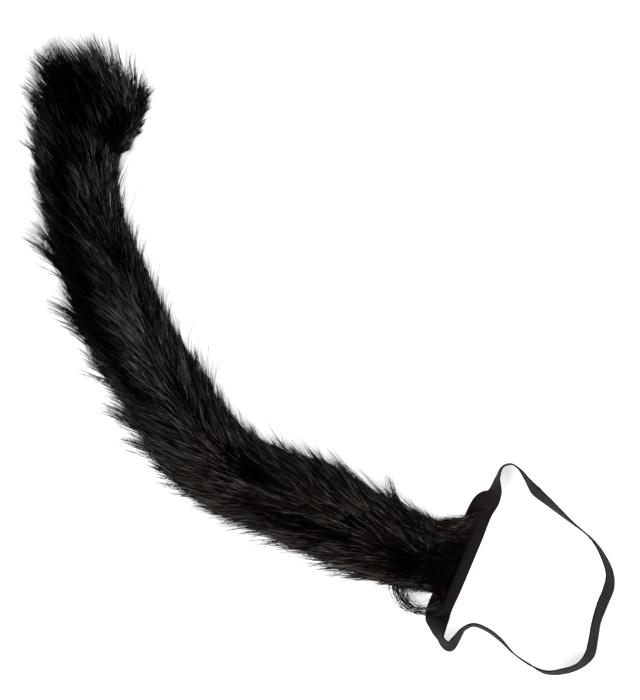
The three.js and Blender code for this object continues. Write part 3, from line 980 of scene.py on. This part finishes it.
class TAIL_OT_curled_lock(Operator):
    """Lock that curls out under the neck: hairs on arcs from one root, each with its own turn"""

    bl_idname = "costume_tail.curled_lock"
    bl_label = "Curled lock"

    SHARES = np.linspace(0, 1, 10)
    COUNT = 75
    ROOT_AT, ROOT_ANGLE = 0.079, 184.0
    # Heading at the root and turn on the way in degrees, and length in metres.
    HEADING, TURN, LENGTH = -104.0, 148.0, 0.069
    WARMTH = 1.0

    def execute(self, context):
        scene = context.scene
        sleeve = Sleeve(scene.tail_sizes, scene.elastic_sizes)
        rng = np.random.default_rng(19)
        count = self.COUNT
        at = self.ROOT_AT + rng.normal(0, 0.006, count)
        start, _ = sleeve.backing(at, self.ROOT_ANGLE + rng.normal(0, 8, count))
        start[:, 2] = rng.uniform(1, 14, count) * MM
        length = self.LENGTH * rng.uniform(0.55, 1.05, count)
        turn = self.TURN * length / self.LENGTH * rng.uniform(0.9, 1.15, count)
        heading = self.HEADING + rng.normal(0, 6, count)
        path = bent_path(start, heading, turn, length, rng.uniform(0, 6, count) * MM, self.SHARES)
        girths = rng.uniform(0.5, 0.95, (count, 1)) * np.linspace(1, 0.7, len(self.SHARES) - 1)
        radii = scene.pile_look.hair_width / 2 * girths
        shades = rng.uniform(0.2, 0.85, count)
        finish = hair_finish(scene.tail_colours, self.WARMTH)
        new_strands("curled_lock", sleeve.settled(path, HAIR_CLEARANCE), radii, shades, finish)
        return {"FINISHED"}


def loop_stations(tail, elastic, spacing):
    """Stations round the elastic, as places, tangents and leans: a closed centripetal Catmull-Rom
    curve through the knots of the sewn stretch and the bends, with the lean on straight lines."""
    heading = math.degrees(elastic.sewn_heading)
    along, out = headed(heading), headed(heading - 90)
    half = tail.neck_width / 2 + elastic.sewn_margin
    bends = len(LOOP_BENDS["lean"])
    passed = (np.arange(bends) + 1) / (bends + 1)
    up = half * (1 - 2 * passed) + LOOP_BENDS["along"] * elastic.spread
    free = up[:, None] * along + (LOOP_BENDS["out"] * elastic.reach)[:, None] * out
    knots = np.concatenate([SEWN_KNOTS[:, None] * half * along, free])
    leans = np.concatenate([np.full(len(SEWN_KNOTS), 90.0), LOOP_BENDS["lean"]])
    before, start, end, after = (np.roll(knots, shift, 0) for shift in (1, 0, -1, -2))
    spans = np.linalg.norm(end - start, axis=1)
    root = np.sqrt(spans)
    first, middle, last = (np.roll(root, shift)[:, None] for shift in (1, 0, -1))
    leave = (start - before) / first - (end - before) / (first + middle) + (end - start) / middle
    arrive = (end - start) / middle - (after - start) / (middle + last) + (after - end) / last
    leave, arrive = leave * middle, arrive * middle
    counts = np.maximum(1, np.round(spans / spacing).astype(int))
    index = np.repeat(np.arange(len(knots)), counts)
    share = np.concatenate([np.arange(count) / count for count in counts])
    t = share[:, None]
    square = -3 * start + 3 * end - 2 * leave - arrive
    cube = 2 * start - 2 * end + leave + arrive
    places = start[index] + leave[index] * t + square[index] * t**2 + cube[index] * t**3
    tangents = unit(leave[index] + 2 * square[index] * t + 3 * cube[index] * t**2)
    lean = leans[index] * (1 - share) + np.roll(leans, -1)[index] * share
    return places, tangents, lean


def ribbon_grid(elastic, places, tangents, leans, profile):
    """Points of a ribbon: each station's section leans from upright, and its lowest corner is on the
    floor. profile holds places across the width and through the thickness."""
    outer = unit(-np.cross(tangents, UP))
    side, rise = np.sin(np.radians(leans))[:, None], np.cos(np.radians(leans))[:, None]
    height = (elastic.width * rise + elastic.thickness * np.abs(side)) / 2
    centre = places + UP * height
    across = UP * rise - outer * side
    through = outer * rise + UP * side
    return centre[:, None] + across[:, None] * profile[:, :1] + through[:, None] * profile[:, 1:]


def ribbon_profile(width, thickness):
    """Section of woven elastic: two flats that are a little thinner between the selvedges, joined by
    round edges of half the thickness."""
    across = np.linspace(-1, 1, FLAT_POINTS)
    half = thickness / 2
    waist = half * (1 - FLAT_DIP * smooth((1 - np.abs(across)) * width / 2 / SELVEDGE))
    flat = across * (width / 2 - half)
    turn = np.radians([60, 30, 0, -30, -60])
    edge = np.stack([width / 2 - half + half * np.cos(turn), half * np.sin(turn)], -1)
    upper = np.stack([flat, waist], -1)
    return np.concatenate([upper, edge, upper[::-1] * [1, -1], edge[::-1] * [-1, 1]])


def ribbon_weave(run, profile, places):
    """Places on the weave map at grid places: the run along the ribbon, and the place across it."""
    return np.stack([run[places[..., 0]], profile[places[..., 1] % len(profile), 0]], -1)


class TAIL_OT_elastic(Operator):
    """Waist elastic: a closed ribbon with rounded selvedges, through the same bends as the frame's"""

    bl_idname = "costume_tail.elastic"
    bl_label = "Waist elastic"

    def execute(self, context):
        tail, elastic = context.scene.tail_sizes, context.scene.elastic_sizes
        places, tangents, leans = loop_stations(tail, elastic, RIBBON_STEP)
        profile = ribbon_profile(elastic.width, elastic.thickness)
        grid = ribbon_grid(elastic, places, tangents, leans, profile)
        faces, corners = tube_faces(len(grid), len(profile), True)
        run = np.append(0, np.cumsum(np.linalg.norm(np.roll(places, -1, 0) - places, axis=1)))
        maps = [(WEAVE_MAP, [ribbon_weave(run, profile, corners)])]
        piece = new_piece("woven_elastic", grid.reshape(-1, 3), [faces], maps)
        dress(piece, elastic_finish(context.scene.tail_colours, elastic.width))
        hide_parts("waist_elastic")
        return {"FINISHED"}


class TAIL_OT_elastic_lap(Operator):
    """Lapped end of the elastic: a second thin layer on the last of the free ribbon, on its stations,
    shut by one face at each end"""

    bl_idname = "costume_tail.elastic_lap"
    bl_label = "Elastic lap"

    # The lap starts this far before the sewn stretch, in metres, and is this long and thick.
    END_RUN, LENGTH, THICKNESS = 0.026, 0.022, 0.0008
    # Share of its thickness by which the lap's middle lies over the elastic's face.
    SEAT = 0.55

    def execute(self, context):
        tail, elastic = context.scene.tail_sizes, context.scene.elastic_sizes
        places, tangents, leans = loop_stations(tail, elastic, RIBBON_STEP)
        steps = np.linalg.norm(np.roll(places, -1, 0) - places, axis=1)
        left = steps.sum() - np.append(0, np.cumsum(steps)[:-1])
        chosen = (left < self.END_RUN) & (left > self.END_RUN - self.LENGTH)
        profile = ribbon_profile(elastic.width, self.THICKNESS)
        profile[:, 1] += elastic.thickness / 2 + self.SEAT * self.THICKNESS
        grid = ribbon_grid(elastic, places[chosen], tangents[chosen], leans[chosen], profile)
        rows, sides = len(grid), len(profile)
        faces, corners = tube_faces(rows, sides, False)
        run = np.append(0, np.cumsum(steps[chosen]))
        side = np.arange(sides)[None]
        shut = [(0, side[:, ::-1]), (rows - 1, side)]
        shut = [np.stack([np.full_like(part, row), part], -1) for row, part in shut]
        caps = [part[..., 0] * sides + part[..., 1] for part in shut]
        maps = [(WEAVE_MAP, [ribbon_weave(run, profile, part) for part in (corners, *shut)])]
        piece = new_piece("lapped_elastic_end", grid.reshape(-1, 3), [faces, *caps], maps)
        dress(piece, elastic_finish(context.scene.tail_colours, elastic.width))
        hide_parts("waist_elastic")
        return {"FINISHED"}


class TAIL_OT_stitches(Operator):
    """Stitches: two rows of black thread that hold the sleeve's flattened end on the elastic. Each is
    straight in plan, and in height a half sine whose ends are sunk into the cloth"""

    bl_idname = "costume_tail.stitches"
    bl_label = "Stitches"

    # Pitch and length of a stitch, and thickness of its thread, in metres.
    PITCH, LENGTH, THREAD = 0.0042, 0.0031, 0.00045
    # Places of the two rows past the sleeve's end: one lies on the sleeve, and one just off it.
    ROWS = (-0.0035, 0.0005)
    # How far a stitch arches up, how deep its ends are sunk, and the share of the neck that is sewn.
    ARCH, SINK = 0.0013, 0.0006
    SEWN_SHARE = 0.94
    SHARES = np.linspace(0, 1, 6)

    def execute(self, context):
        tail, elastic = context.scene.tail_sizes, context.scene.elastic_sizes
        heading = math.degrees(elastic.sewn_heading)
        along, out = headed(heading), headed(heading + 90)
        count = int(tail.neck_width * self.SEWN_SHARE / self.PITCH)
        run = (np.arange(count) - (count - 1) / 2) * self.PITCH
        edge = elastic.width / 2 - tail.neck_lap
        top = elastic.thickness + elastic.sewing_gap + tail.neck_thickness
        rows = [run[:, None] * along + (edge - row) * out + UP * top for row in self.ROWS]
        starts = np.concatenate(rows)
        path = starts[:, None] + along * self.LENGTH * self.SHARES[:, None]
        path[..., 2] += self.ARCH * np.sin(math.pi * self.SHARES) - self.SINK
        radii = np.full((len(path), len(self.SHARES) - 1), self.THREAD / 2)
        thread = Finish("black_thread", Roughness=0.6, Specular_IOR_Level=0.2)
        thread.drive("Base Color", (*(1.2 * c for c in context.scene.tail_colours.elastic), 1))
        new_strands("sewn_end_stitches", path, radii, np.full(len(path), 0.5), thread)
        return {"FINISHED"}


class TAIL_OT_stage(Operator):
    """Camera straight above, soft studio light and a pale floor"""

    bl_idname = "costume_tail.stage"
    bl_label = "Stage"

    # The picture shows FRAME_HEIGHT, in metres, round MIDDLE and at TRUE_HEIGHT over the floor. The
    # sensor is in millimetres.
    FRAME_HEIGHT = 0.700
    MIDDLE = (-0.1407, 0.2106)
    TRUE_HEIGHT = 0.015
    SENSOR = 36.0
    DISTANCE = 6.0
    # Side of the floor and its drop under the tail, then the floor's glow and the light all round.
    FLOOR_SIDE, FLOOR_DROP = 12.0, 0.3 * MM
    FLOOR_GLOW, ROUND_LIGHT = 0.65, 0.35

    def execute(self, context):
        scene = context.scene
        camera = bpy.data.objects.new("camera", bpy.data.cameras.new("camera"))
        camera.data.sensor_width = self.SENSOR
        camera.data.lens = self.SENSOR * self.DISTANCE / self.FRAME_HEIGHT
        camera.location = (*self.MIDDLE, self.DISTANCE + self.TRUE_HEIGHT)
        scene.collection.objects.link(camera)
        scene.camera = camera
        self.floor(scene)
        self.lamp(scene, "key", (-1.2, -1.4, 1.7), 1.1, 60)
        self.lamp(scene, "fill", (1.5, 0.9, 1.9), 1.3, 22)
        world = bpy.data.worlds.new("studio")
        world.use_nodes = True
        background = world.node_tree.nodes["Background"]
        background.inputs["Color"].default_value = (1, 1, 1, 1)
        background.inputs["Strength"].default_value = self.ROUND_LIGHT
        scene.world = world
        scene.view_settings.view_transform = "Standard"
        return {"FINISHED"}

    def floor(self, scene):
        """One square face, a little under the tail."""
        half = self.FLOOR_SIDE / 2
        corners = np.array([[-half, -half, 0], [half, -half, 0], [half, half, 0], [-half, half, 0]])
        piece = new_piece("floor", corners - UP * self.FLOOR_DROP, [np.array([[0, 1, 2, 3]])])
        finish = Finish("pale_floor", Roughness=0.9, Specular_IOR_Level=0.1)
        finish.drive("Base Color", (*scene.tail_colours.floor, 1))
        finish.drive("Emission Color", (1, 1, 1, 1))
        finish.drive("Emission Strength", self.FLOOR_GLOW)
        piece.data.materials.append(finish.material)

    def lamp(self, scene, name, place, side, power):
        """Square area light of a side and a power in watts, aimed at the tail's middle."""
        light = bpy.data.lights.new(name, "AREA")
        light.size = side
        light.energy = power
        lamp = bpy.data.objects.new(name, light)
        lamp.location = place
        aim = Vector((*self.MIDDLE, 0.0)) - lamp.location
        lamp.rotation_euler = aim.to_track_quat("-Z", "Y").to_euler()
        scene.collection.objects.link(lamp)


class TAIL_PT_sidebar(Panel):
    """Lists the tail's pieces and sizes"""

    bl_label = "Costume Tail"
    bl_idname = "TAIL_PT_sidebar"
    bl_space_type = "VIEW_3D"
    bl_region_type = "UI"
    bl_category = "Costume Tail"

    def draw(self, context):
        for step in STEPS:
            self.layout.operator(step.bl_idname)
        for group in GROUPS:
            settings = getattr(context.scene, group)
            for name in settings.__annotations__:
                self.layout.prop(settings, name)


GROUPS = {
    "tail_sizes": TailSizes,
    "elastic_sizes": ElasticSizes,
    "tail_colours": TailColours,
    "pile_look": PileLook,
}
STEPS = (
    TAIL_OT_stage,
    TAIL_OT_under_fur,
    TAIL_OT_pile,
    TAIL_OT_stray_hairs,
    TAIL_OT_curled_lock,
    TAIL_OT_elastic,
    TAIL_OT_elastic_lap,
    TAIL_OT_stitches,
)
CLASSES = (*GROUPS.values(), *STEPS, TAIL_PT_sidebar)


def register():
    for item in CLASSES:
        bpy.utils.register_class(item)
    for name, group in GROUPS.items():
        setattr(bpy.types.Scene, name, PointerProperty(type=group))


def unregister():
    for name in GROUPS:
        delattr(bpy.types.Scene, name)
    for item in reversed(CLASSES):
        bpy.utils.unregister_class(item)


def main():
    """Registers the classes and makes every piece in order."""
    register()
    for step in STEPS:
        family, name = step.bl_idname.split(".")
        getattr(getattr(bpy.ops, family), name)()


if __name__ == "__main__":
    main()
